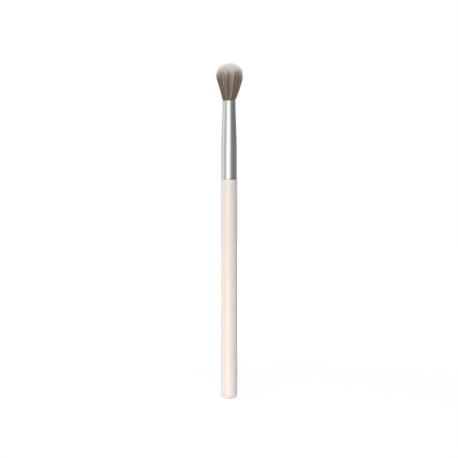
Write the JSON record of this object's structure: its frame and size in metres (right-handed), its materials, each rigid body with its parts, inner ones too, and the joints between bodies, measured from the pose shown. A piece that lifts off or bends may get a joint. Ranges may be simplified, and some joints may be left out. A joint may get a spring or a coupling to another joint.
{
  "type": "eyeshadow brush",
  "caption": "Slim round makeup brush with a domed, flared soft tuft, a tapered metal ferrule and a straight lacquered handle, for blending eyeshadow.",
  "frame": {"origin": "centre of the flat end of the handle's butt", "axes": "+Z along the brush's axis, from the butt to the tips of the hairs; X and Y across it, all round alike"},
  "size_m": [0.0134, 0.0134, 0.165],
  "materials": {
    "turned_wood": "satin",
    "cream_lacquer": "gloss",
    "satin_ferrule": "satin",
    "cured_adhesive": "gloss",
    "bonded_hair": "matte",
    "binding_thread": "matte",
    "hair_side": "matte",
    "hair_middle": "matte",
    "hair_top": "matte"
  },
  "bodies": {
    "root": {"handle_core": "turned_wood", "handle_lacquer": "cream_lacquer", "ferrule": "satin_ferrule", "tenon_glue": "cured_adhesive", "root_plug": "bonded_hair", "root_thread": "binding_thread", "tuft_outer": "hair_side", "tuft_middle": "hair_middle", "tuft_core": "hair_top"}
  },
  "joints": []
}
